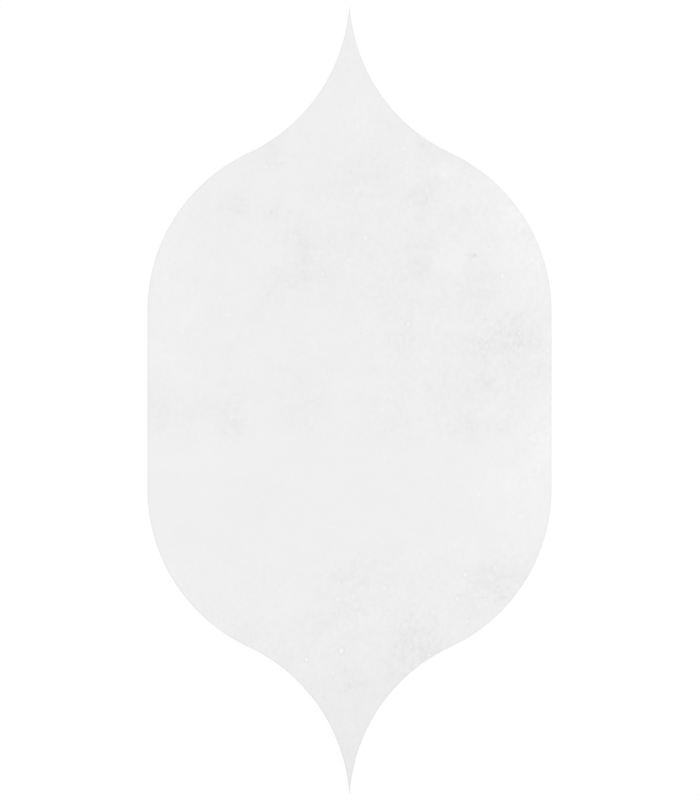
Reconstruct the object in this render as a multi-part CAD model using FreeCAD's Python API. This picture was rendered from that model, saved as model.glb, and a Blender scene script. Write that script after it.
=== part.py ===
import FreeCAD
import Part
import math
import os

from FreeCAD import Vector

# Moroccan arabesque tile: one piece of white stoneware, pressed, glazed on its face and fired.
# The outline has two flat sides, and at each end an ogee: a round shoulder that turns into a hollow
# neck and runs out to a point. Shoulder and neck have the same radius, so that the shoulder of one
# laid tile fills the neck of the next.
# The tile lies on its back. Origin: centre of the back. +X across, +Y to one point, +Z up to the face.
# All sizes are in millimetres and degrees.

# Outline
tile_width = 124.0          # from one flat side to the other
side_length = 54.5          # length of each flat side
ogee_radius = 53.5          # radius of the round shoulder, and of the hollow neck that meets it
tip_radius = 0.1            # the blunt end of each point

# Section
tile_thickness = 9.5
face_edge_radius = 0.5      # the eased edge round the glazed face
land_height = 5.0           # upright band under that edge, where the joint to the next tile is measured
wall_setback = 0.5          # how far the lower wall draws in, so that no tile binds below the face
back_edge_chamfer = 0.5     # broken edge round the back

# Key for the mortar, pressed into the back
key_depth = 0.8
key_rim = 7.0               # flat border between the outline and the key
key_draft_angle = 35.0      # slope of the key's walls, from upright, that lets the punch leave
key_end_radius = 2.0        # rounding at the two ends of the key
rib_width = 4.0             # crest of each rib, level with the rim
rib_pitch = 12.0            # from one rib to the next

# How far a cutting solid runs past what it cuts
overrun = 2.0

half_width = tile_width / 2
half_side = side_length / 2

# Each arc of the ogee turns by this angle, and together they step in by half of the tile's width
ogee_turn = math.acos(1 - half_width / 2 / ogee_radius)
ogee_height = 2 * ogee_radius * math.sin(ogee_turn)

# Height at which the two necks of one end would meet in a point of no width
cusp_y = half_side + ogee_height

shoulder_centre = Vector(half_width - ogee_radius, half_side, 0)
neck_centre = Vector(ogee_radius, cusp_y, 0)


def point_on(centre, radius, angle):
    """The point of a level circle at an angle in radians from +X."""
    return centre + Vector(radius * math.cos(angle), radius * math.sin(angle), 0)


def arc(centre, radius, start, end):
    """A level circular edge from one angle to another."""
    middle = (start + end) / 2
    return Part.Arc(*[point_on(centre, radius, angle) for angle in (start, middle, end)]).toShape()


def mirrored_in_x(shape):
    """The same shape on the other side of the tile's length."""
    return shape.mirror(Vector(0, 0, 0), Vector(1, 0, 0))


def mirrored_in_y(shape):
    """The same shape at the tile's other end."""
    return shape.mirror(Vector(0, 0, 0), Vector(0, 1, 0))


def tip_turn(inset, end_radius):
    """The angle, seen from the neck's centre, at which a neck meets the rounding of the point."""
    return math.acos(ogee_radius / (ogee_radius + inset + end_radius))


def tip_centre(inset, end_radius):
    """The centre of the circle that rounds a point and touches both of its necks."""
    reach = ogee_radius + inset + end_radius
    return Vector(0, cusp_y - reach * math.sin(tip_turn(inset, end_radius)), 0)


def outline(inset, end_radius, z=0.0):
    """The tile's outline, drawn in by an inset, with its two points rounded to a radius.

    The arcs keep their centres: the inset makes the shoulders' radius smaller and the necks' larger.
    """
    turn_at_tip = tip_turn(inset, end_radius)
    quarter = [
        arc(shoulder_centre, ogee_radius - inset, 0, ogee_turn),
        arc(neck_centre, ogee_radius + inset, math.pi + ogee_turn, math.pi + turn_at_tip),
    ]
    upper = quarter + [mirrored_in_x(edge) for edge in quarter]
    upper.append(arc(tip_centre(inset, end_radius), end_radius, turn_at_tip, math.pi - turn_at_tip))

    side_x = half_width - inset
    side = Part.makeLine(Vector(side_x, -half_side, 0), Vector(side_x, half_side, 0))
    edges = upper + [mirrored_in_y(edge) for edge in upper] + [side, mirrored_in_x(side)]

    wire = Part.Wire(Part.__sortEdges__(edges))
    wire.translate(Vector(0, 0, z))
    return wire


def waste_profile(wall, outward):
    """What is cut away outside the tile's section, as an upright face in the XZ plane.

    wall is the x of the tile's widest line there, and outward is +1 or -1, the way out of the tile.
    """
    def at(out, z):
        return Vector(wall + outward * out, 0, z)

    edge_foot_z = tile_thickness - face_edge_radius
    land_foot_z = edge_foot_z - land_height
    halfway = math.radians(45)
    eased_edge = Part.Arc(
        at(-face_edge_radius, tile_thickness),
        at(-face_edge_radius * (1 - math.sin(halfway)), edge_foot_z + face_edge_radius * math.cos(halfway)),
        at(0, edge_foot_z),
    ).toShape()

    back_edge = -(wall_setback + back_edge_chamfer)
    straight_edges = Part.makePolygon([
        at(0, edge_foot_z),
        at(0, land_foot_z),
        at(-wall_setback, back_edge_chamfer),
        at(back_edge, 0),
        at(back_edge, -overrun),
        at(overrun, -overrun),
        at(overrun, tile_thickness + overrun),
        at(-face_edge_radius, tile_thickness + overrun),
        at(-face_edge_radius, tile_thickness),
    ]).Edges
    return Part.Face(Part.Wire([eased_edge] + straight_edges))


def turned_waste(centre, outward, start, end):
    """The waste along one arc of the ogee, turned about the arc's upright axis."""
    waste = waste_profile(ogee_radius, outward).revolve(Vector(0, 0, 0), Vector(0, 0, 1), math.degrees(end - start))
    waste.rotate(Vector(0, 0, 0), Vector(0, 0, 1), math.degrees(start))
    waste.translate(centre)
    return waste


def edge_waste():
    """All that is cut from the blank to give its edge the tile's section.

    Near a point the waste of one neck runs on through the other, and the two leave a crest between them.
    """
    side = waste_profile(half_width, 1).extrude(Vector(0, side_length, 0))
    side.translate(Vector(0, -half_side, 0))
    shoulder = turned_waste(shoulder_centre, 1, 0, ogee_turn)
    neck = turned_waste(neck_centre, -1, math.pi, math.pi + ogee_turn)
    right_half = [side, shoulder, neck, mirrored_in_y(shoulder), mirrored_in_y(neck)]
    return right_half + [mirrored_in_x(shape) for shape in right_half]


def key_ribs(draft):
    """The bars left standing across the key, each wider at its root than at its crest."""
    half_crest = rib_width / 2
    half_root = half_crest + draft
    section = Part.Face(Part.makePolygon([
        Vector(-half_width, -half_crest, 0),
        Vector(-half_width, -half_root, key_depth),
        Vector(-half_width, half_root, key_depth),
        Vector(-half_width, half_crest, 0),
        Vector(-half_width, -half_crest, 0),
    ]))
    rib = section.extrude(Vector(tile_width, 0, 0))
    key_end_y = tip_centre(key_rim, key_end_radius).y + key_end_radius
    ribs_each_way = int(key_end_y / rib_pitch)
    return [
        rib.translated(Vector(0, step * rib_pitch, 0))
        for step in range(-ribs_each_way, ribs_each_way + 1)
    ]


def mortar_key():
    """The grooves of the back: a sunk field inside the rim, less its ribs.

    Its walls slope, so each groove is smaller at its floor than at its mouth.
    """
    draft = key_depth * math.tan(math.radians(key_draft_angle))
    mouth = outline(key_rim, key_end_radius)
    floor = outline(key_rim + draft, key_end_radius, key_depth)
    field = Part.makeLoft([mouth, floor], True, True)
    return field.cut(key_ribs(draft))


def arabesque_tile():
    """The whole tile: the blank, with its edge worked to section and the key sunk in its back."""
    blank = Part.Face(outline(0, tip_radius)).extrude(Vector(0, 0, tile_thickness))
    edged = blank.cut(edge_waste())
    return edged.cut(mortar_key())


def write(name, shape):
    """Writes one piece as parts/NAME.step and prints what it measures."""
    box = shape.optimalBoundingBox()
    print(name, "valid", shape.isValid(), "solids", len(shape.Solids), "volume", round(shape.Volume, 3))
    print(name, "size", round(box.XLength, 3), round(box.YLength, 3), round(box.ZLength, 3))
    shape.exportStep(os.path.join("parts", name + ".step"))


os.makedirs("parts", exist_ok=True)
write("arabesque_tile", arabesque_tile())
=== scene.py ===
import math

import bmesh
import bpy
import numpy as np
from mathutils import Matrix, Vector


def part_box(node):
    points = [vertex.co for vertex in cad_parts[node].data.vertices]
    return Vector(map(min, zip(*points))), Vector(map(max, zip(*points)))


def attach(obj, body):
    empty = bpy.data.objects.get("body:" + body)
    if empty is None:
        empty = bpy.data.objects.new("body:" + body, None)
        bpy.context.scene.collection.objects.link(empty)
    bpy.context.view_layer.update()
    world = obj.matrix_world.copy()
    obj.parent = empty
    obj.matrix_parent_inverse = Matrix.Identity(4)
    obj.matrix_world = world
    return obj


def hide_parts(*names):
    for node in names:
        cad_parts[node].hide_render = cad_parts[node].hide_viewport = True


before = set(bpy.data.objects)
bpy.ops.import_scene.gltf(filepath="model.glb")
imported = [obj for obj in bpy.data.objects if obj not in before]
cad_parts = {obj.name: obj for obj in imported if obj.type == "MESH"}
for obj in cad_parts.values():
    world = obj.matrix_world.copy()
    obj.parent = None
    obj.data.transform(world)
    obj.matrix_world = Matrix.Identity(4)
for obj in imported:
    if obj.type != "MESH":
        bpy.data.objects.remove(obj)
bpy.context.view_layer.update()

# The fired tile
# One piece of pale stoneware, dry-pressed in a steel die and fired once with its glaze. The glaze was poured
# over the face and ran part of the way down the edge, where it stopped in a soft wavering lip. The rest of
# the edge is bare clay, and so is the back, which has a key for the mortar.

# Outline: two flat sides, and at each end two round shoulders that turn into hollow necks and meet in a point
_, tile_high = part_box("arabesque_tile")
half_width = tile_high.x
half_length = tile_high.y
thickness = tile_high.z

ogee_radius = 0.0535        # of the shoulder and of the neck
tip_radius = 0.0001         # the blunt end of each point

# Each arc turns by this angle, and the two together step in by half of the tile's width
ogee_turn = math.acos(1 - half_width / 2 / ogee_radius)

# Where the two necks of one end would meet in a point of no width, and the half length of the flat side
cusp_y = half_length - tip_radius + math.sqrt((ogee_radius + tip_radius) ** 2 - ogee_radius**2)
half_side = cusp_y - 2 * ogee_radius * math.sin(ogee_turn)
shoulder_x = half_width - ogee_radius


def ring(station, inset):
    """x and y of the outline's right-hand half, drawn in by an inset.

    The size of a station runs from 0 to 4: flat side, shoulder, neck and blunt end are 1 long each, and its
    sign is the sign of y. Shoulders are circles of ogee_radius - inset, necks circles of ogee_radius + inset,
    both about centres that stay, and the end is a circle of tip_radius that touches both necks.
    """
    along = np.abs(station)
    reach = ogee_radius + inset + tip_radius
    tip_turn = np.arccos(ogee_radius / reach)
    shoulder = ogee_turn * (along - 1)
    neck = ogee_turn + (tip_turn - ogee_turn) * (along - 2)
    tip = tip_turn + (math.pi / 2 - tip_turn) * (along - 3)
    parts = [along <= 1, along <= 2, along <= 3]
    x = np.select(
        parts,
        [
            half_width - inset + 0 * along,
            shoulder_x + (ogee_radius - inset) * np.cos(shoulder),
            ogee_radius - (ogee_radius + inset) * np.cos(neck),
        ],
        tip_radius * np.cos(tip),
    )
    y = np.select(
        parts,
        [
            half_side * along,
            half_side + (ogee_radius - inset) * np.sin(shoulder),
            cusp_y - (ogee_radius + inset) * np.sin(neck),
        ],
        cusp_y - reach * np.sin(tip_turn) + tip_radius * np.sin(tip),
    )
    return x, np.sign(station) * y


def half_width_at(y, inset, end_radius):
    """The x at which a level line meets the outline drawn in by an inset, or 0 past its end.

    It solves each circle of the outline for x, with the ends rounded to end_radius.
    """
    up = np.abs(y)
    reach = ogee_radius + inset + end_radius
    end_y = cusp_y - np.sqrt(reach**2 - ogee_radius**2)
    tip_turn = np.arccos(ogee_radius / reach)
    inflection_y = half_side + (ogee_radius - inset) * math.sin(ogee_turn)
    neck_end_y = cusp_y - (ogee_radius + inset) * np.sin(tip_turn)

    def root(square):
        return np.sqrt(np.maximum(square, 0))

    return np.select(
        [up <= half_side, up <= inflection_y, up <= neck_end_y],
        [
            half_width - inset + 0 * up,
            shoulder_x + root((ogee_radius - inset) ** 2 - (up - half_side) ** 2),
            ogee_radius - root((ogee_radius + inset) ** 2 - (cusp_y - up) ** 2),
        ],
        root(end_radius**2 - (up - end_y) ** 2),
    )


def station_at(y, inset):
    """The station at which the outline, drawn in by an inset, reaches a height y short of its blunt end.

    On the flat side it is y over that side's half length. On a circle it is the angle at which the circle has
    that height, as a share of all that the circle turns by.
    """
    tip_turn = math.acos(ogee_radius / (ogee_radius + inset + tip_radius))
    neck = np.arcsin(np.clip((cusp_y - y) / (ogee_radius + inset), -1, 1))
    return np.select(
        [y <= half_side, y <= half_side + (ogee_radius - inset) * math.sin(ogee_turn)],
        [y / half_side, 1 + np.arcsin(np.clip((y - half_side) / (ogee_radius - inset), -1, 1)) / ogee_turn],
        2 + (neck - ogee_turn) / (tip_turn - ogee_turn),
    )


def smooth(share):
    """A ramp from 0 to 1 that starts and ends level: 3 s^2 - 2 s^3, held at 0 and 1 outside."""
    s = np.clip(share, 0, 1)
    return s * s * (3 - 2 * s)


# Section, from the face down to the back
face_edge_radius = 0.0005   # the eased edge round the face
land_foot_z = 0.004         # below this the bare wall leans in
wall_foot_z = 0.0005        # top of the broken edge round the back
wall_setback = 0.0005
back_edge_inset = 0.001
glaze_coat = 0.00018        # how far the glaze stands out from the bare wall
coat_run = 0.02             # it thins out to next to nothing within this of the points
thinnest_coat = 0.00001
lip_mean_z = 0.0051         # where the glaze stops, on average
lip_wave = 0.00032          # how high a waver is that goes once round the tile
lip_runs = 16               # places where the glaze ran further down
run_hang = 0.00025, 0.00075     # how far down, from the least to the most
run_width = 0.0022, 0.0052      # half of a run's width, as a share of the way round the tile
least_lip = 0.0002          # the lip stays this far above the land's foot
lip_start = 0.0006          # the upright land ends this far above where the glaze stops
lip_rounding = 0.0004       # height over which the coat rounds in to the bare wall
face_sag = 0.00003          # how far the face lies under the tile's highest point, on average
face_roll = 0.000012        # height of its slow waves
bead_height, bead_inset, bead_width = 0.000025, 0.0014, 0.0006      # where the glaze drew up at the edge
clay_inset = 0.00002        # how far the bare wall lies inside the lip's foot

# Key for the mortar, pressed into the back inside a flat rim
key_depth = 0.0008
key_rim = 0.007
key_end_radius = 0.002
key_draft_angle = 35.0      # slope of the key's walls, in degrees from upright
key_draft = key_depth * math.tan(math.radians(key_draft_angle))
rib_half_width = 0.002
rib_pitch = 0.012
ribs_each_way = 7           # on each side of the middle one

# Mesh spacing
filler_step = 0.00106       # between the rows that no edge of the key asks for
clear_of_edges = 0.006      # such a row keeps this far from the key's edges, in stations
face_columns = 106
border_inset = 0.0024       # where the face's own mesh ends
bead_lines = 0.002, 0.0017, 0.0014, 0.0011, 0.0008      # insets of the lines from there to the eased edge
land_shares = 0.35, 0.7     # how far down the glazed land its lines lie
eased_lines, lip_lines, broken_lines = 9, 6, 4      # round the eased edge, the lip and the broken edge
crease = 0.0001             # beside a crease, the next line is this near, which keeps it crisp
broken_start = 0.1          # radians, from each end of the broken edge's turn to its nearest line
slope_shares = np.linspace(0, 1, 4)     # down the slopes of the key, where a line lies
tip_rows = 4                # at the blunt end of each point
mark_cuts = 5               # new lines each way in a cell that a mark touches

# The photograph, in which the firing's marks and the clouds have their places
photo_centre = np.array([349.5, 400.0])     # the tile's middle, in pixels
photo_tile_width = 404.4                    # pixels from one flat side to the other
photo_scale = 2 * half_width / photo_tile_width     # metres to a pixel


def waves(x, y, longest, shortest, count, seed):
    """A rolling surface of about unit height: the sum of plane waves, each as high as it is long."""
    draw = np.random.default_rng(seed)
    length = shortest * (longest / shortest) ** draw.random(count)
    heading = draw.random(count) * 2 * math.pi
    start = draw.random(count) * 2 * math.pi
    height = length / math.sqrt((length**2).sum() / 2)
    turns = 2 * math.pi / length
    phase = np.multiply.outer(x, turns * np.cos(heading)) + np.multiply.outer(y, turns * np.sin(heading))
    return (height * np.sin(phase + start)).sum(axis=-1)


def lip_height(along):
    """How high the glaze stops, at a share of the way round the tile.

    It is the mean height, plus whole waves round the tile, less a few runs that hang as bells exp(-r^2).
    """
    draw = np.random.default_rng(11)
    counts = np.arange(3, 70)       # of waves in one turn round the tile
    start = draw.random(len(counts)) * 2 * math.pi
    height = lip_wave / counts**0.5
    wave = (height * np.sin(2 * math.pi * np.multiply.outer(along, counts) + start)).sum(axis=-1)
    runs = draw.random(lip_runs)
    depth = draw.uniform(*run_hang, lip_runs)
    width = draw.uniform(*run_width, lip_runs)
    apart = (np.subtract.outer(along, runs) + 0.5) % 1 - 0.5
    hang = (depth * np.exp(-((apart / width) ** 2))).sum(axis=-1)
    return np.clip(lip_mean_z + wave - hang, land_foot_z + least_lip, None)


def rows_of_the_mesh():
    """Stations from one point of the tile to the other, about evenly spaced.

    Rows lie on the slopes of the key's ribs and ends, from edge to edge, and what would crowd them is left
    out.
    """
    slopes = key_draft * slope_shares
    ribs = np.arange(ribs_each_way + 1) * rib_pitch
    flanks = np.concatenate([rib_half_width + slopes, -rib_half_width - slopes])
    reach = ogee_radius + key_rim + slopes + key_end_radius
    ends = cusp_y + key_end_radius - np.sqrt(reach**2 - ogee_radius**2)
    features = np.concatenate([np.add.outer(ribs, flanks).ravel(), ends])
    features = features[(features > 0) & (features <= ends.max())]
    features = station_at(features, back_edge_inset)

    arc_length = ogee_radius * ogee_turn
    fillers = np.concatenate([
        np.linspace(0, 1, round(half_side / filler_step))[1:],
        1 + np.linspace(0, 1, round(arc_length / filler_step))[1:],
        2 + np.linspace(0, 1, round(arc_length / filler_step))[1:],
    ])
    clear = np.abs(np.subtract.outer(fillers, features)).min(axis=1) > clear_of_edges
    kept = fillers[clear | (fillers % 1 == 0)]
    blunt_end = 3 + np.linspace(0, 1, tip_rows + 1)[1:]
    upper = np.unique(np.concatenate([features, kept, blunt_end]))
    return np.concatenate([-upper[::-1], [0.0], upper])


stations = rows_of_the_mesh()

# Marks of the firing, as (x, y) of their pixel in the photograph, half width in millimetres, and how many
# steps of 255 they are painted lighter or darker. A burst bubble left a shallow bowl, whose floor is painted
# light as a glint and whose rim is painted darker as shade.
craters = [
    (266, 166, 0.66, 4.0),
    (407, 162, 0.66, 4.0),
    (365, 238, 0.76, 4.5),
    (470, 257, 0.36, 12.0),
    (472, 250, 0.40, 5.0),
    (502, 275, 0.66, 6.5),
    (322, 273, 0.66, 5.0),
    (220, 297, 0.62, 4.0),
    (408, 323, 0.66, 6.0),
    (486, 345, 0.54, 5.5),
    (519, 333, 0.60, 4.0),
    (520, 516, 0.68, 3.5),
    (330, 527, 0.70, 4.5),
    (465, 574, 0.68, 8.0),
    (431, 583, 0.66, 4.0),
    (180, 582, 0.48, 5.0),
    (384, 588, 0.58, 5.5),
    (353, 596, 0.80, 4.5),
    (337, 599, 0.70, 4.0),
    (457, 598, 0.72, 7.0),
    (432, 612, 0.66, 5.0),
    (467, 621, 0.60, 4.5),
    (341, 650, 0.74, 11.0),
    (306, 659, 0.60, 11.0),
    (333, 673, 0.68, 4.0),
    (308, 688, 0.56, 5.0),
]

# A pinhole is narrower and steeper: gas broke through late in the firing and the coat didn't close again.
# Its darkness is painted shade in the hole.
pinholes = [
    (464, 172, 0.34, 10),
    (488, 181, 0.30, 8),
    (230, 208, 0.32, 9),
    (271, 212, 0.40, 11),
    (453, 217, 0.28, 7),
    (396, 227, 0.32, 9),
    (294, 229, 0.28, 7),
    (488, 247, 0.28, 7),
    (474, 255, 0.54, 24),
    (465, 255, 0.32, 9),
    (318, 266, 0.30, 8),
    (350, 300, 0.28, 7),
    (400, 319, 0.28, 7),
    (360, 333, 0.34, 10),
    (530, 345, 0.30, 7),
    (416, 345, 0.28, 7),
    (463, 363, 0.26, 5),
    (225, 363, 0.26, 5),
    (431, 384, 0.30, 7),
    (290, 390, 0.30, 6),
    (230, 403, 0.30, 7),
    (222, 411, 0.28, 7),
    (504, 420, 0.28, 7),
    (406, 423, 0.32, 8),
    (237, 427, 0.28, 6),
    (417, 519, 0.28, 6),
    (498, 586, 0.36, 10),
    (292, 594, 0.30, 7),
    (375, 605, 0.30, 6),
    (335, 651, 0.32, 8),
    (355, 714, 0.30, 8),
]
mark_contrast = 1.25        # what a mark loses to its small size in a picture is made up for
crater_stretch = 1.3        # craters are longer than wide by this, along the tile, the way the glaze ran
crater_depth, pinhole_depth = 1 / 9, 1 / 3      # in half widths
# A crater's rim is painted darker, as shade, and the lightness of its floor is a painted glint
rim_height, rim_painted_shade = 0.2, 0.4     # of a crater's rim, where its depth and lightness are 1
rim_place, rim_width = 1.25, 0.3        # of a crater's rim, in half widths from its middle
rim_spread = 1.7            # a crater's rim is gone at this many half widths


def on_tile(mark):
    """A mark's place on the tile, in metres, from its pixel in the photograph."""
    return (np.array(mark[:2]) + 0.5 - photo_centre) * (photo_scale, -photo_scale)


def half_sizes(mark):
    """Half the width and half the length of a mark, in metres."""
    half_wide = mark[2] / 1000
    return np.array([half_wide, half_wide * (crater_stretch if mark in craters else 1)])


def touched(low, high):
    """Whether a mark, its rim included, reaches into the box between two corners."""
    reached = np.zeros(low.shape[:-1], bool)
    for mark in craters + pinholes:
        middle = on_tile(mark)
        spread = half_sizes(mark) * (rim_spread if mark in craters else 1)
        outside = (middle - np.clip(middle, low, high)) / spread
        reached = reached | (np.hypot(outside[..., 0], outside[..., 1]) < 1)
    return reached


def marked(x, y):
    """How deep the marks cut, and how many steps darker their colour is painted.

    A mark is a bowl of (1 - r^2)^2, where r is 0 in its middle and 1 at its edge. A crater's bowl has a
    raised rim round it. A crater's floor is painted lighter as a glint and its rim darker as shade, and a
    pinhole is painted darker as the shade in it.
    """
    depth = np.zeros(x.shape)
    darker = np.zeros(x.shape)
    for mark in craters + pinholes:
        mark_x, mark_y = on_tile(mark)
        half_wide, half_long = half_sizes(mark)
        strength = mark_contrast * mark[3]
        out = np.hypot((x - mark_x) / half_wide, (y - mark_y) / half_long)
        bowl = np.clip(1 - out**2, 0, 1) ** 2
        if mark in craters:
            rim = np.exp(-(((out - rim_place) / rim_width) ** 2))
            depth = depth + crater_depth * half_wide * (bowl - rim_height * rim)
            # A crater's floor is painted lighter, as a glint, and its rim darker, as shade
            darker = darker - strength * (bowl - rim_painted_shade * rim)
        else:
            depth = depth + pinhole_depth * half_wide * bowl
            # A pinhole is painted darker, as the shade in it
            darker = darker + strength * bowl
    return depth, darker


def face_z(x, y, inset):
    """Height of the glazed face: a faint roll, a low bead just inside the edge, less its marks."""
    roll = face_roll * waves(x, y, longest=0.05, shortest=0.009, count=28, seed=3)
    bead = bead_height * np.exp(-(((inset - bead_inset) / bead_width) ** 2))
    depth, _ = marked(x, y)
    return np.minimum(thickness - face_sag + roll + bead - depth, thickness)


def quads(rows, columns, first, joined):
    """Corner numbers of the quads between neighbouring points of a grid, with its last column joined to its
    first where joined is true."""
    last = columns if joined else columns - 1
    row, column = np.meshgrid(np.arange(rows - 1), np.arange(last), indexing="ij")
    beside = (column + 1) % columns
    corners = np.stack([row * columns + column, row * columns + beside,
                        (row + 1) * columns + beside, (row + 1) * columns + column], axis=-1)
    return corners.reshape(-1, 4) + first


# The face inside its border, row by row from side to side
face_x, face_y = ring(stations, border_inset)
across = np.linspace(-1, 1, face_columns + 1)
grid_x = np.multiply.outer(face_x, across)
grid_y = np.multiply.outer(face_y, np.ones(face_columns + 1))
face_points = np.stack([grid_x, grid_y, face_z(grid_x, grid_y, border_inset)], axis=-1)

# Its cells that marks touch, by number, apart from the outermost, which meet the border
cells = np.stack([face_points[:-1, :-1], face_points[1:, :-1], face_points[:-1, 1:], face_points[1:, 1:]])
split_cells = touched(cells[..., :2].min(axis=0), cells[..., :2].max(axis=0))
split_cells[[0, -1], :] = False
split_cells[:, [0, -1]] = False
split_cells = np.flatnonzero(split_cells)

# The border and the edge, as a section carried once round the outline
loop = np.concatenate([stations, stations[-2:0:-1]])
side = np.where(np.arange(len(loop)) < len(stations), 1.0, -1.0)
loop_x, loop_y = ring(loop, 0.0)
strides = np.hypot(np.diff(loop_x * side), np.diff(loop_y))
travelled = np.concatenate([[0], np.cumsum(strides)])
last_stride = math.hypot(loop_x[-1] - loop_x[0], loop_y[-1] - loop_y[0])
way_round = travelled / (travelled[-1] + last_stride)
lip_z = lip_height(way_round)
coat = glaze_coat * smooth((half_length - np.abs(loop_y)) / coat_run) + thinnest_coat


def border_points(inset):
    """A line on the face, parallel to the outline."""
    x, y = ring(loop, inset)
    return x * side, y, face_z(x * side, y, inset)


def edge_points(inset, z):
    """A line below the face, at an inset and a height that may change along the way."""
    x, y = ring(loop, inset)
    return x * side, y, z + 0 * x


# The glaze, from the face's own mesh outwards and down: the border with its bead, the eased edge, the land,
# and the lip, which rounds in to the bare wall
glazed_lines = [border_points(inset) for inset in (border_inset, *bead_lines)]
brow_x, brow_y = ring(loop, face_edge_radius)
brow_z = face_z(brow_x * side, brow_y, face_edge_radius)
land_inset = 0.00003        # at its top, the land lies this far inside the tile's widest line
for turn in np.linspace(0, math.pi / 2, eased_lines):
    drop = face_edge_radius * (1 - math.cos(turn))
    inset = land_inset + (face_edge_radius - land_inset) * (1 - math.sin(turn))
    glazed_lines.append(edge_points(inset, brow_z - drop))
top = brow_z - face_edge_radius
for share in land_shares:
    glazed_lines.append(edge_points(land_inset * (1 - share), top + (lip_z + lip_start - top) * share))
for turn in np.linspace(0, math.pi / 2, lip_lines):
    hang = lip_rounding * (1 - math.sin(turn))
    glazed_lines.append(edge_points(coat * (1 - math.cos(turn)), lip_z + hang))

# The bare clay: under the lip a hair further in, then the leaning wall and the broken edge of the back
bare_inset = coat + clay_inset
bare_lines = [
    edge_points(coat, lip_z),
    edge_points(bare_inset, lip_z - crease),
    edge_points(bare_inset, (lip_z + land_foot_z) / 2),
    edge_points(bare_inset, land_foot_z),
    edge_points(coat + 0.5 * (wall_setback - coat), (land_foot_z + wall_foot_z) / 2),
    edge_points(wall_setback, wall_foot_z + crease),
]
broken = back_edge_inset - wall_setback
for turn in np.linspace(broken_start, math.pi / 2 - broken_start, broken_lines):
    inset = wall_setback + broken * (1 - math.cos(turn))
    bare_lines.append(edge_points(inset, wall_foot_z * (1 - math.sin(turn))))
bare_lines.append(edge_points(back_edge_inset, 0.0))


def loops(lines):
    """The lines of a section as one grid of points."""
    return np.stack([np.stack(line, axis=-1) for line in lines])


glazed_edge = loops(glazed_lines)
bare_edge = loops(bare_lines)

# The back: rim and ribs in one plane, with sloping grooves between them. Its lines run beside the outline,
# as (inset, radius of their blunt ends), over the rim and down the key's wall, and then fan in.
rim_lines = [(back_edge_inset, tip_radius), (0.0012, tip_radius), (0.003, 0.0006), (0.0055, 0.0015)]
wall_lines = [(key_rim + key_draft * share, key_end_radius) for share in slope_shares]
inner_columns = 12
_, back_y = ring(stations, back_edge_inset)
lines_x = [half_width_at(back_y, inset, end) for inset, end in rim_lines + wall_lines]
lines_x += [lines_x[-1] * share for share in np.linspace(1, 0, inner_columns + 1)[1:]]
right = np.stack(lines_x, axis=-1)
back_x = np.concatenate([right, -right[:, -2::-1]], axis=1)

# How far down the key's wall each line lies, and each row at the key's two ends and beside its ribs
down = np.concatenate([np.zeros(len(rim_lines)), slope_shares, np.ones(inner_columns)])
wall = np.concatenate([down, down[-2::-1]])

key_reach = np.hypot(cusp_y + key_end_radius - np.abs(back_y), ogee_radius)
end_share = (key_reach - ogee_radius - key_rim - key_end_radius) / key_draft
to_rib = np.abs((back_y + rib_pitch / 2) % rib_pitch - rib_pitch / 2)
groove = smooth((to_rib - rib_half_width) / key_draft)
sunk = smooth(np.minimum(wall, end_share[:, None]))
back_points = np.stack(
    [back_x, np.multiply.outer(back_y, np.ones(back_x.shape[1])), key_depth * sunk * groove[:, None]], axis=-1
)

glaze_slot, clay_slot = 0, 1
patches = [
    (face_points, False, glaze_slot),
    (glazed_edge, True, glaze_slot),
    (bare_edge, True, clay_slot),
    (back_points, False, clay_slot),
]
points, faces, slots = [], [], []
for patch, joined, slot in patches:
    first = sum(len(part) for part in points)
    made = quads(patch.shape[0], patch.shape[1], first, joined)
    points.append(patch.reshape(-1, 3))
    faces.append(made)
    slots.append(np.full(len(made), slot))

mesh = bpy.data.meshes.new("fired_tile")
mesh.from_pydata(np.concatenate(points).tolist(), [], np.concatenate(faces).tolist())
mesh.polygons.foreach_set("material_index", np.concatenate(slots))
mesh.polygons.foreach_set("use_smooth", np.ones(len(mesh.polygons), bool))

# Splits the touched cells, so that a mark half a millimetre wide has a round shape. The cells beside them
# become fans about their middles. New points come after all others, and are set to the face's height.
old_points = len(mesh.vertices)
shell = bmesh.new()
shell.from_mesh(mesh)
shell.faces.ensure_lookup_table()
split_edges = {edge.index: edge for cell in split_cells for edge in shell.faces[cell].edges}
bmesh.ops.subdivide_edges(
    shell, edges=[split_edges[number] for number in sorted(split_edges)], cuts=mark_cuts, use_grid_fill=True
)
bmesh.ops.poke(shell, faces=[cell for cell in shell.faces if len(cell.verts) > 4])
shell.to_mesh(mesh)
shell.free()


def vertex_places():
    """Where the vertices of the mesh are, a row for each."""
    flat = np.empty(len(mesh.vertices) * 3)
    mesh.vertices.foreach_get("co", flat)
    return flat.reshape(-1, 3)


places = vertex_places()
places[old_points:, 2] = face_z(places[old_points:, 0], places[old_points:, 1], border_inset)
mesh.vertices.foreach_set("co", places.ravel())

shell = bmesh.new()
shell.from_mesh(mesh)
bmesh.ops.remove_doubles(shell, verts=shell.verts, dist=1e-6)
bmesh.ops.recalc_face_normals(shell, faces=shell.faces)
shell.to_mesh(mesh)
shell.free()

fired_tile = bpy.data.objects.new("fired_tile", mesh)
bpy.context.scene.collection.objects.link(fired_tile)

# Painted light and shade: the coat's colour is a little lighter towards its sides, and darker towards the
# lower point, as the light falls. Each start is measured from the tile's middle, and the change is complete a
# run further out.
side_start, side_run = 0.032, 0.028
right_light_steps, left_light_steps = 1.4, 0.8
lower_shade_start, lower_shade_run = 0.062, 0.06
lower_shade_steps = 5.6


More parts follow.
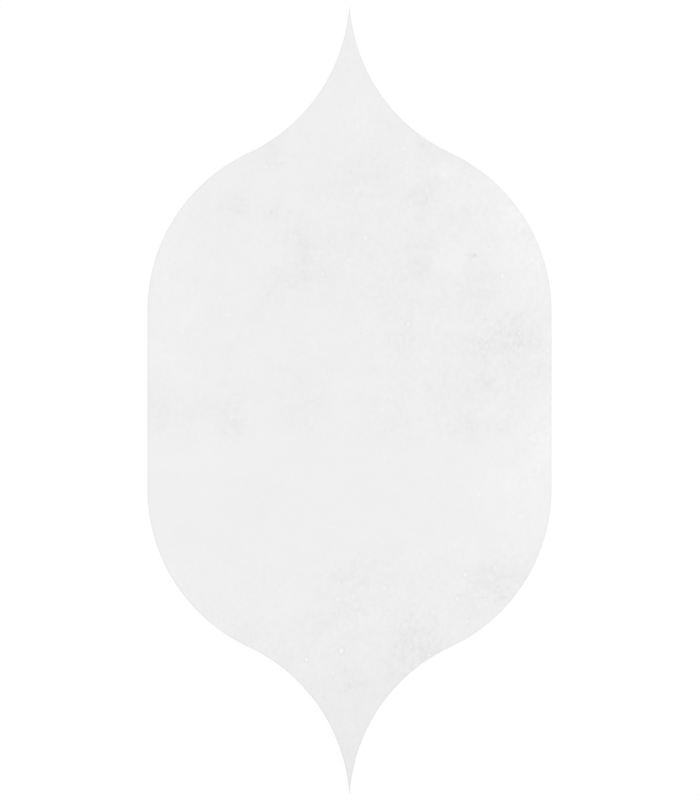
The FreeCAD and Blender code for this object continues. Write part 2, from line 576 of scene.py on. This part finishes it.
def painted_light_drift(x, y):
    """How many steps darker the coat is painted at large, as painted light and shade: ramps in x to each
    side, and in y to the lower point.
    """
    right = smooth((x - side_start) / side_run)
    left = smooth((-x - side_start) / side_run)
    lower_shade = smooth((-y - lower_shade_start) / lower_shade_run)
    return lower_shade_steps * lower_shade - right_light_steps * right - left_light_steps * left


# Clouds in the coat, as (x, y) of their middle's pixel in the photograph, half length and half width in
# millimetres, slant in degrees, and how many steps of 255 darker they look, or lighter below 0
clouds = [
    (272, 148, 4.0, 4.4, 0, 3.4),
    (428, 140, 8.0, 4.0, -25, 2.6),
    (236, 207, 5.4, 4.0, 0, 2.4),
    (272, 210, 2.0, 2.6, 0, 4.0),
    (297, 232, 2.8, 5.4, 0, 3.6),
    (304, 264, 3.8, 8.0, 10, 3.4),
    (285, 285, 6.6, 2.8, 35, 3.8),
    (247, 328, 14.0, 2.4, 49, 1.1),
    (276, 268, 3.0, 2.6, 0, 1.2),
    (324, 266, 5.0, 6.0, 0, 2.0),
    (352, 250, 5.4, 6.4, 0, 1.6),
    (350, 292, 24.0, 7.0, 0, 0.9),
    (350, 218, 22.0, 12.0, 0, 0.8),
    (366, 168, 9.0, 7.0, 20, 1.8),
    (350, 190, 6.0, 6.0, 0, 1.1),
    (425, 192, 4.0, 3.4, 0, 3.6),
    (417, 206, 2.6, 4.4, 0, 2.6),
    (457, 222, 5.4, 5.0, 0, 2.0),
    (419, 267, 5.0, 8.0, 0, 3.4),
    (388, 262, 6.0, 8.0, 0, 1.0),
    (475, 256, 1.8, 1.8, 0, 4.4),
    (476, 289, 6.4, 6.0, 30, 2.8),
    (400, 337, 5.0, 8.6, 15, 2.8),
    (512, 326, 6.0, 6.0, 0, 4.2),
    (516, 343, 10.0, 4.0, 0, 3.8),
    (386, 378, 4.0, 9.0, 0, 1.2),
    (475, 351, 8.0, 5.6, 20, 3.2),
    (529, 368, 8.0, 7.0, 0, 2.3),
    (431, 384, 2.0, 2.0, 0, 2.4),
    (498, 386, 12.0, 4.4, 0, 2.8),
    (450, 406, 7.0, 5.0, 0, 1.7),
    (488, 424, 16.0, 4.4, 6, 2.4),
    (232, 416, 3.8, 6.0, 0, 4.8),
    (168, 414, 10.0, 7.4, 0, 2.4),
    (302, 400, 6.6, 11.0, 0, 2.0),
    (382, 416, 9.0, 5.6, 0, 1.2),
    (183, 534, 4.0, 5.0, 0, 1.0),
    (262, 500, 6.0, 6.0, 0, 0.7),
    (364, 571, 12.0, 5.6, 0, 2.4),
    (340, 624, 6.0, 4.0, 30, 2.0),
    (350, 606, 10.0, 9.0, 0, 1.8),
    (505, 583, 12.0, 6.0, 27, 5.8),
    (414, 639, 6.6, 9.0, 10, 5.2),
    (402, 668, 12.0, 5.0, 30, 2.4),
    (352, 685, 7.0, 3.4, 0, 2.4),
    (346, 684, 3.6, 2.4, 0, 2.2),
    (256, 638, 6.0, 4.4, -25, 1.6),
    (506, 209, 9.0, 7.0, -55, -3.0),
    (530, 262, 6.0, 10.0, 0, -1.8),
    (447, 172, 7.0, 3.0, 50, -1.8),
    (466, 194, 5.0, 3.0, -50, -1.3),
    (449, 262, 3.8, 6.0, 0, -1.6),
    (545, 434, 8.0, 12.0, 0, -2.2),
    (528, 545, 6.0, 6.0, 0, -1.3),
    (506, 482, 17.0, 14.0, 0, -1.4),
    (165, 300, 8.0, 20.0, 0, -1.2),
    (200, 458, 22.0, 8.0, 0, -0.9),
    (356, 104, 7.0, 9.0, 0, -0.7),
]
fray = 0.001                # how far the clouds' outlines are shifted
fray_waves = {"longest": 0.012, "shortest": 0.0015, "count": 40}


def cloud_darkness(x, y):
    """How many steps darker the clouds make the coat: soft bells, exp(-r^2), added up.

    Their outlines are frayed by waves that shift the place they are looked up at.
    """
    frayed_x = x + fray * waves(x, y, **fray_waves, seed=5)
    frayed_y = y + fray * waves(x, y, **fray_waves, seed=6)
    darker = np.zeros(x.shape)
    for cloud in clouds:
        centre_x, centre_y = on_tile(cloud)
        long, wide, slant, strength = cloud[2:]
        lean = math.radians(slant)
        along = (frayed_x - centre_x) * math.cos(lean) + (frayed_y - centre_y) * math.sin(lean)
        beside = (frayed_y - centre_y) * math.cos(lean) - (frayed_x - centre_x) * math.sin(lean)
        darker = darker + strength * np.exp(-(np.hypot(along / long, beside / wide) * 1000) ** 2)
    return darker


grain_steps = 15.5          # from the lightest to the darkest grain, where it is strongest
cloud_grain = 5.2           # as many more for each step that a cloud is darker
quiet_share, full_share = 0.68, 1.02    # of it, at the upper left, and to the right and at the lower end
right_start, right_run = -0.01, 0.05
low_start, low_run = 0.05, 0.02
calm_y, calm_reach, calm_run = -0.0285, 0.019, 0.006    # a calm belt across the tile, below its middle
calm_share = 0.5


def grain_strength(x, y, clouding):
    """How strong the fine grain is: a ramp from the quiet upper left to the right and to the lower end, less
    in the calm belt, and stronger within the clouds, which are made of it."""
    right = smooth((x - right_start) / right_run)
    low = smooth((-y - low_start) / low_run)
    calm = smooth((calm_reach - np.abs(y - calm_y)) / calm_run)
    share = quiet_share + (full_share - quiet_share) * np.maximum(right, low)
    return grain_steps * share * (1 - calm_share * calm) + cloud_grain * np.abs(clouding)


def store(name, values):
    """Keeps a number for each vertex, for the materials to read."""
    layer = mesh.attributes.new(name, "FLOAT", "POINT")
    layer.data.foreach_set("value", values.astype(np.float32))


place_x, place_y, place_z = vertex_places().T
clouding = cloud_darkness(place_x, place_y)
_, painted_mark_light = marked(place_x, place_y)
# The tone holds the clouds, and painted light and shade: the coat's drift, and the marks' painted glints and
# shade
store("tone_and_painted_light", painted_light_drift(place_x, place_y) + clouding + painted_mark_light * (place_z > thickness / 2))
store("grain", grain_strength(place_x, place_y, clouding))


def paint(code):
    """The linear colour of an sRGB hex value."""
    shares = [int(code[start:start + 2], 16) / 255 for start in (1, 3, 5)]
    linear = [share / 12.92 if share <= 0.04045 else ((share + 0.055) / 1.055) ** 2.4 for share in shares]
    return (*linear, 1.0)


def new_material(name):
    """An empty material with its node tree."""
    material = bpy.data.materials.new(name)
    material.use_nodes = True
    material.node_tree.nodes.clear()
    return material, material.node_tree


def add_node(tree, kind, settings=None, inputs=None):
    """Adds a node, gives it its settings, and sets each input to a value or links it to a socket."""
    node = tree.nodes.new(kind)
    for name, value in (settings or {}).items():
        setattr(node, name, value)
    for name, value in (inputs or {}).items():
        if isinstance(value, bpy.types.NodeSocket):
            tree.links.new(value, node.inputs[name])
        else:
            node.inputs[name].default_value = value
    return node


# The numbers of a colour Mix node's two colours and of its result
first_colour, second_colour, mixed_colour = 6, 7, 2


def white_glaze():
    """Satin white tin glaze, poured and fired: opaque and soft in its shine, with faint clouds and grain."""
    material, tree = new_material("poured_satin_white_glaze")
    place = add_node(tree, "ShaderNodeTexCoord").outputs["Object"]
    # Its tone holds the clouds, and painted light and shade: a drift, and the glints and shade of the marks
    tone_and_painted_light = add_node(tree, "ShaderNodeAttribute", {"attribute_name": "tone_and_painted_light"}).outputs["Fac"]
    strength = add_node(tree, "ShaderNodeAttribute", {"attribute_name": "grain"}).outputs["Fac"]

    # Haze of the melt, and its crystals' grain, which is drawn out along the tile, the way the glaze ran, and
    # goes down to a tenth of a millimetre. Both noises lie about a half, which comes off.
    haze_size, grain_size = 0.008, 0.0018
    haze_share = 0.38
    haze = add_node(tree, "ShaderNodeTexNoise", inputs={
        "Vector": place, "Scale": 1 / haze_size, "Detail": 4.0, "Roughness": 0.7,
    }).outputs["Fac"]
    drawn_out = add_node(tree, "ShaderNodeMapping", inputs={
        "Vector": place, "Scale": (1.25, 0.85, 1.0),
    }).outputs["Vector"]
    grain = add_node(tree, "ShaderNodeTexNoise", inputs={
        "Vector": drawn_out, "Scale": 1 / grain_size, "Detail": 4.0, "Roughness": 1.0,
    }).outputs["Fac"]
    mottling = add_node(tree, "ShaderNodeMath", {"operation": "MULTIPLY_ADD"}, {
        0: haze, 1: haze_share, 2: grain,
    }).outputs[0]
    centred = add_node(tree, "ShaderNodeMath", {"operation": "SUBTRACT"}, {
        0: mottling, 1: 0.5 * (1 + haze_share),
    }).outputs[0]

    # Rare coarse grains that the melt didn't take up, dark ones and light ones: what the highest crests of a
    # noise, and its deepest hollows, have beyond two levels
    coarse_size, coarse_share = 0.0012, 4.8
    low_level, high_level = 0.2, 0.79
    relief = add_node(tree, "ShaderNodeTexNoise", inputs={
        "Vector": drawn_out, "Scale": 1 / coarse_size, "Detail": 0.0,
    }).outputs["Fac"]
    within = add_node(tree, "ShaderNodeClamp", inputs={
        "Value": relief, "Min": low_level, "Max": high_level,
    }).outputs["Result"]
    coarse = add_node(tree, "ShaderNodeMath", {"operation": "SUBTRACT"}, {
        0: relief, 1: within,
    }).outputs[0]
    crystals = add_node(tree, "ShaderNodeMath", {"operation": "MULTIPLY_ADD"}, {
        0: coarse, 1: coarse_share, 2: centred,
    }).outputs[0]
    steps = add_node(tree, "ShaderNodeMath", {"operation": "MULTIPLY_ADD"}, {
        0: crystals, 1: strength, 2: tone_and_painted_light,
    }).outputs[0]

    # The two colours are 24 steps of 255 apart, with the coat's own level a little nearer to the light one.
    # The light one reaches as far as the painted glints of the craters.
    lightest, darkest = -10.75, 13.25
    share = add_node(tree, "ShaderNodeMapRange", inputs={
        "Value": steps, "From Min": lightest, "From Max": darkest,
    }).outputs["Result"]
    colour = add_node(tree, "ShaderNodeMix", {"data_type": "RGBA"}, {
        0: share, first_colour: paint("#FAFAFA"), second_colour: paint("#E2E2E2"),
    }).outputs[mixed_colour]

    # The skin of the melt: a fine orange peel, this far from crest to crest and this high
    peel_size, peel_height = 0.0015, 0.00002
    peel = add_node(tree, "ShaderNodeTexNoise", inputs={
        "Vector": place, "Scale": 1 / peel_size, "Detail": 3.0, "Roughness": 0.5,
    }).outputs["Fac"]
    skin = add_node(tree, "ShaderNodeBump", inputs={
        "Strength": 0.35, "Distance": peel_height, "Height": peel,
    }).outputs["Normal"]
    roughness = add_node(tree, "ShaderNodeMapRange", inputs={
        "Value": haze, "From Min": 0.3, "From Max": 0.7, "To Min": 0.38, "To Max": 0.5,
    }).outputs["Result"]
    shader = add_node(tree, "ShaderNodeBsdfPrincipled", inputs={
        "Base Color": colour, "Roughness": roughness, "Normal": skin, "IOR": 1.5,
    }).outputs["BSDF"]
    add_node(tree, "ShaderNodeOutputMaterial", inputs={"Surface": shader})
    return material


def bare_clay():
    """Pale stoneware as it left the kiln: matt, dry and finely gritty, with a rare speck of iron.

    The rim and the ribs of the back stood on the kiln's rollers, and a chalky film of their wash is rubbed
    on there. The film is what the height in the Object coordinates is read for.
    """
    material, tree = new_material("pressed_pale_stoneware")
    place = add_node(tree, "ShaderNodeTexCoord").outputs["Object"]
    patch_size, grit_size, grit_height = 0.02, 0.0006, 0.00006
    patch = add_node(tree, "ShaderNodeTexNoise", inputs={
        "Vector": place, "Scale": 1 / patch_size, "Detail": 4.0, "Roughness": 0.6,
    }).outputs["Fac"]
    grit = add_node(tree, "ShaderNodeTexNoise", inputs={
        "Vector": place, "Scale": 1 / grit_size, "Detail": 2.0, "Roughness": 0.7,
    }).outputs["Fac"]
    clay = add_node(tree, "ShaderNodeMix", {"data_type": "RGBA"}, {
        0: patch, first_colour: paint("#E2DCD1"), second_colour: paint("#D8D0C3"),
    }).outputs[mixed_colour]
    gritty = add_node(tree, "ShaderNodeMix", {"data_type": "RGBA"}, {
        0: grit, first_colour: clay, second_colour: paint("#CBC2B4"),
    }).outputs[mixed_colour]

    # Only the highest crests of a noise count as specks, so they are rare and a third of its size wide
    speck_noise_size = 0.0014
    crests = add_node(tree, "ShaderNodeTexNoise", inputs={
        "Vector": place, "Scale": 1 / speck_noise_size, "Detail": 0.0,
    }).outputs["Fac"]
    speck = add_node(tree, "ShaderNodeMapRange", inputs={
        "Value": crests, "From Min": 0.79, "From Max": 0.83, "To Max": 0.6,
    }).outputs["Result"]
    specked = add_node(tree, "ShaderNodeMix", {"data_type": "RGBA"}, {
        0: speck, first_colour: gritty, second_colour: paint("#9C8468"),
    }).outputs[mixed_colour]

    # The wash is full at the plane of the back, gone at a height above it, and broken into patches
    wash_height, wash_patch_size = 0.0002, 0.007
    height = add_node(tree, "ShaderNodeSeparateXYZ", inputs={"Vector": place}).outputs["Z"]
    on_crest = add_node(tree, "ShaderNodeMapRange", inputs={
        "Value": height, "From Min": wash_height, "From Max": 0.0, "To Max": 0.75,
    }).outputs["Result"]
    rubbing = add_node(tree, "ShaderNodeTexNoise", inputs={
        "Vector": place, "Scale": 1 / wash_patch_size, "Detail": 6.0, "Roughness": 0.7,
    }).outputs["Fac"]
    rubbed = add_node(tree, "ShaderNodeMapRange", inputs={
        "Value": rubbing, "From Min": 0.38, "From Max": 0.6,
    }).outputs["Result"]
    wash = add_node(tree, "ShaderNodeMath", {"operation": "MULTIPLY"}, {
        0: on_crest, 1: rubbed,
    }).outputs[0]
    colour = add_node(tree, "ShaderNodeMix", {"data_type": "RGBA"}, {
        0: wash, first_colour: specked, second_colour: paint("#EEEAE2"),
    }).outputs[mixed_colour]
    rough = add_node(tree, "ShaderNodeBump", inputs={
        "Strength": 0.6, "Distance": grit_height, "Height": grit,
    }).outputs["Normal"]
    shader = add_node(tree, "ShaderNodeBsdfPrincipled", inputs={
        "Base Color": colour, "Roughness": 0.88, "Normal": rough, "IOR": 1.5,
    }).outputs["BSDF"]
    add_node(tree, "ShaderNodeOutputMaterial", inputs={"Surface": shader})
    return material


mesh.materials.append(white_glaze())
mesh.materials.append(bare_clay())

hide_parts("arabesque_tile")
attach(fired_tile, "root")

# The floor
# A sheet of matt white card, larger than any view of the tile. Seen straight it is paper white.

card_half_size = 3.0
card_mesh = bpy.data.meshes.new("white_card")
card_mesh.from_pydata(
    [(-card_half_size, -card_half_size, 0), (card_half_size, -card_half_size, 0),
     (card_half_size, card_half_size, 0), (-card_half_size, card_half_size, 0)],
    [],
    [(0, 1, 2, 3)],
)
card = bpy.data.objects.new("white_card", card_mesh)
bpy.context.scene.collection.objects.link(card)

paper_share = 0.88          # of the card's look is paper white, and the rest shows the light that falls on it
paper_glow = 1.035          # makes up for what that rest lacks of white


def seen_straight(tree):
    """1 for rays from the camera, and for those that a shiny or clear surface sends on, else 0."""
    path = add_node(tree, "ShaderNodeLightPath").outputs
    shiny = add_node(tree, "ShaderNodeMath", {"operation": "MAXIMUM"}, {
        0: path["Is Glossy Ray"], 1: path["Is Transmission Ray"],
    }).outputs[0]
    return add_node(tree, "ShaderNodeMath", {"operation": "MAXIMUM"}, {
        0: path["Is Camera Ray"], 1: shiny,
    }).outputs[0]


def white_paper():
    """Matt white card. A view of it is nearly all paper white, with a trace of the tile's shadow, and from
    below it is clear, so that the back of the tile can be looked at."""
    material, tree = new_material("matt_white_card")
    shade = add_node(tree, "ShaderNodeBsdfDiffuse", inputs={"Color": paint("#F2F2F2")}).outputs["BSDF"]
    paper = add_node(tree, "ShaderNodeEmission", inputs={"Strength": paper_glow}).outputs["Emission"]
    share = add_node(tree, "ShaderNodeMath", {"operation": "MULTIPLY"}, {
        0: seen_straight(tree), 1: paper_share,
    }).outputs[0]
    front = add_node(tree, "ShaderNodeMixShader", inputs={0: share, 1: shade, 2: paper}).outputs[0]
    clear = add_node(tree, "ShaderNodeBsdfTransparent").outputs["BSDF"]
    behind = add_node(tree, "ShaderNodeNewGeometry").outputs["Backfacing"]
    whole = add_node(tree, "ShaderNodeMixShader", inputs={0: behind, 1: front, 2: clear}).outputs[0]
    add_node(tree, "ShaderNodeOutputMaterial", inputs={"Surface": whole})
    return material


card_mesh.materials.append(white_paper())

# Only the camera sees the card. What it would send back up comes from the white room, which then lights the
# back of the tile as well.
card.visible_diffuse = False
card.visible_glossy = False
card.visible_transmission = False
card.visible_shadow = False

# Light and camera
# A white room with one large soft lamp overhead, and a long lens that looks straight down on the face,
# as a catalogue photograph of a single tile is taken.

room = bpy.data.worlds.new("white_room")
bpy.context.scene.world = room
room.use_nodes = True
room_tree = room.node_tree
room_tree.nodes.clear()
light_from_above = 0.78
light_from_below = 0.9      # what a white floor would send back up
heading = add_node(room_tree, "ShaderNodeTexCoord").outputs["Generated"]
upwards = add_node(room_tree, "ShaderNodeSeparateXYZ", inputs={"Vector": heading}).outputs["Z"]
below = add_node(room_tree, "ShaderNodeMath", {"operation": "LESS_THAN"}, {0: upwards, 1: 0.0}).outputs[0]
glow = add_node(room_tree, "ShaderNodeMix", {"data_type": "FLOAT"}, {
    0: below, 2: light_from_above, 3: light_from_below,
}).outputs[0]
strength = add_node(room_tree, "ShaderNodeMix", {"data_type": "FLOAT"}, {
    0: seen_straight(room_tree), 2: glow, 3: 1.0,
}).outputs[0]
sky = add_node(room_tree, "ShaderNodeBackground", inputs={
    "Color": (1.0, 1.0, 1.0, 1.0), "Strength": strength,
}).outputs["Background"]
add_node(room_tree, "ShaderNodeOutputWorld", inputs={"Surface": sky})

lamp_place = (0.15, 0.05, 1.25)
lamp_size = 1.8
lamp_glow = 0.5             # its brightness, where paper white is 1
lamp_data = bpy.data.lights.new("soft_lamp", "AREA")
lamp_data.size = lamp_size
lamp_data.energy = lamp_glow * math.pi * lamp_size**2
lamp = bpy.data.objects.new("soft_lamp", lamp_data)
lamp.location = lamp_place
lamp.visible_camera = False
bpy.context.scene.collection.objects.link(lamp)

lens_mm = 150.0
sensor_mm = 36.0
photo_width, photo_height = 700, 800
aim = (np.array([photo_width, photo_height]) / 2 - photo_centre) * (photo_scale, -photo_scale)
camera_data = bpy.data.cameras.new("camera")
camera_data.lens = lens_mm
camera_data.sensor_width = sensor_mm
camera = bpy.data.objects.new("camera", camera_data)
camera_height = photo_height * photo_scale * lens_mm / sensor_mm
camera.location = (aim[0], aim[1], thickness + camera_height)
bpy.context.scene.collection.objects.link(camera)
bpy.context.scene.camera = camera
bpy.context.scene.view_settings.view_transform = "Standard"
